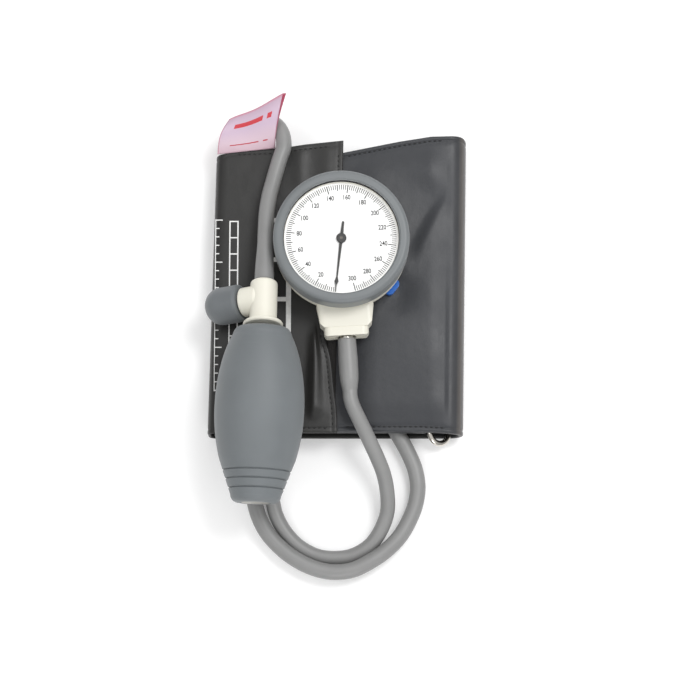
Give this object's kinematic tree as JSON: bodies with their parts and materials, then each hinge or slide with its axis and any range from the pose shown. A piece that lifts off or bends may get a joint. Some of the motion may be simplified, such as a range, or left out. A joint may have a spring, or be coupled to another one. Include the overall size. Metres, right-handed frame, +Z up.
{
  "type": "aneroid sphygmomanometer",
  "caption": "Arm blood pressure set: folded cloth cuff with a metal loop, round dial gauge in a rubber ring, hand bulb with a screw release valve, and rubber tubes.",
  "frame": {"origin": "middle of the folded cuff's flat underside, which rests on the table", "axes": "+Z up out of the dial; +Y along the folded cuff, from the bulb's tail towards the cuff's sewn label; +X across the cuff, from the bulb's side to the fold over the metal loop"},
  "size_m": [0.127, 0.2342, 0.0606],
  "materials": {
    "cuff_cloth": "coated woven nylon, faint sheen",
    "bladder_rubber": "matt",
    "tube_rubber": "smooth",
    "hook_tape": "stiff hooks",
    "loop_tape": "brushed loops",
    "loop_chrome": "polished",
    "label_satin": "satin ribbon",
    "cream_plastic": "moulded, satin",
    "nickel": "nickel plated",
    "seal_rubber": "matt",
    "brass": "machined",
    "ring_rubber": "moulded, satin",
    "window": "clear",
    "dial_paint": "white, printed",
    "steel": "turned",
    "capsule_metal": "thin corrugated copper alloy",
    "spring_steel": "blued",
    "pointer_black": "matt",
    "blue_plastic": "glossy",
    "bulb_rubber": "moulded, matt",
    "knob_rubber": "moulded, satin"
  },
  "bodies": {
    "cuff_and_housings": {"cuff_flap": "cuff_cloth", "cuff_crease": "cuff_cloth", "cuff_base": "cuff_cloth", "cuff_fold": "cuff_cloth", "cuff_pocket": "cuff_cloth", "loop_hem": "cuff_cloth", "bladder": "bladder_rubber", "bladder_port": "tube_rubber", "hook_patch": "hook_tape", "loop_patch": "loop_tape", "label": "label_satin", "gauge_case": "cream_plastic", "neck_collar": "cream_plastic", "gauge_nozzle": "nickel", "nozzle_seal": "seal_rubber", "inlet_block": "brass", "protective_ring": "ring_rubber", "lens": "window", "lens_seal": "seal_rubber", "dial": "dial_paint", "lower_plate": "brass", "upper_plate": "brass", "plate_pillars": "brass", "plate_screws": "steel", "capsule": "capsule_metal", "hairspring": "spring_steel", "hairspring_stud": "brass", "back_clip": "blue_plastic", "clip_rivet": "nickel", "bulb": "bulb_rubber", "intake_body": "nickel", "intake_ring": "brass", "valve_body": "cream_plastic", "valve_spigot": "nickel", "release_bush": "brass", "release_seat": "seal_rubber", "gauge_tube": "tube_rubber", "gauge_tube_end": "tube_rubber", "valve_tube": "tube_rubber", "valve_tube_end": "tube_rubber"},
    "loop": {"metal_loop": "loop_chrome"},
    "sector": {"sector_gear": "brass", "sector_arbor": "steel"},
    "pointer_staff": {"pinion": "steel", "pointer": "pointer_black"},
    "rocker": {"rocking_shaft": "steel"},
    "stem": {"capsule_stem": "brass"},
    "needle": {"release_needle": "steel"},
    "knob": {"release_knob": "knob_rubber"},
    "outlet_flap": {"outlet_disc": "seal_rubber"},
    "intake_flap": {"intake_disc": "seal_rubber"}
  },
  "joints": [
    {"name": "loop_swing", "type": "hinge", "parent": "cuff_and_housings", "child": "loop", "pos_m": [0.04566, -0.00226, 0.0095], "axis": [-0.0209, -0.9998, 0], "range_deg": [0, 32]},
    {"name": "sector_turn", "type": "hinge", "parent": "cuff_and_housings", "child": "sector", "pos_m": [0.00074, 0.03378, 0.0338], "axis": [0, 0, 1], "range_deg": [0, 37.7], "deforming": ["capsule"]},
    {"name": "pointer_turn", "type": "hinge", "parent": "cuff_and_housings", "child": "pointer_staff", "pos_m": [0.0016, 0.0188, 0.0338], "axis": [0, 0, -1], "range_deg": [0, 340]},
    {"name": "rocker_turn", "type": "hinge", "parent": "cuff_and_housings", "child": "rocker", "pos_m": [0.0008, 0.03268, 0.0279], "axis": [-0.9983, -0.0576, 0], "range_deg": [0, 9.01]},
    {"name": "stem_push", "type": "slide", "parent": "cuff_and_housings", "child": "stem", "axis": [0, 0, 1], "range_m": [0, 0.00218]},
    {"name": "release_travel", "type": "slide", "parent": "cuff_and_housings", "child": "needle", "axis": [-0.907, -0.0768, -0.4142], "range_m": [0, 0.0008]},
    {"name": "release_turn", "type": "hinge", "parent": "needle", "child": "knob", "pos_m": [-0.03525, -0.01026, 0.03789], "axis": [-0.907, -0.0768, -0.4142], "range_deg": [0, 360]},
    {"name": "outlet_lift", "type": "slide", "parent": "cuff_and_housings", "child": "outlet_flap", "axis": [0.0121, 0.9781, -0.2079], "range_m": [0, 0.0008]},
    {"name": "intake_lift", "type": "slide", "parent": "cuff_and_housings", "child": "intake_flap", "axis": [0.0366, 0.9987, 0.0349], "range_m": [0, 0.0008]}
  ],
  "couplings": [
    {"joint": "pointer_turn", "follows": "sector_turn", "ratio": 9},
    {"joint": "rocker_turn", "follows": "sector_turn", "ratio": 0.2387},
    {"joint": "stem_push", "follows": "sector_turn", "m_per_rad": 0.003297},
    {"joint": "release_travel", "follows": "release_turn", "m_per_rad": 0.00012732}
  ]
}
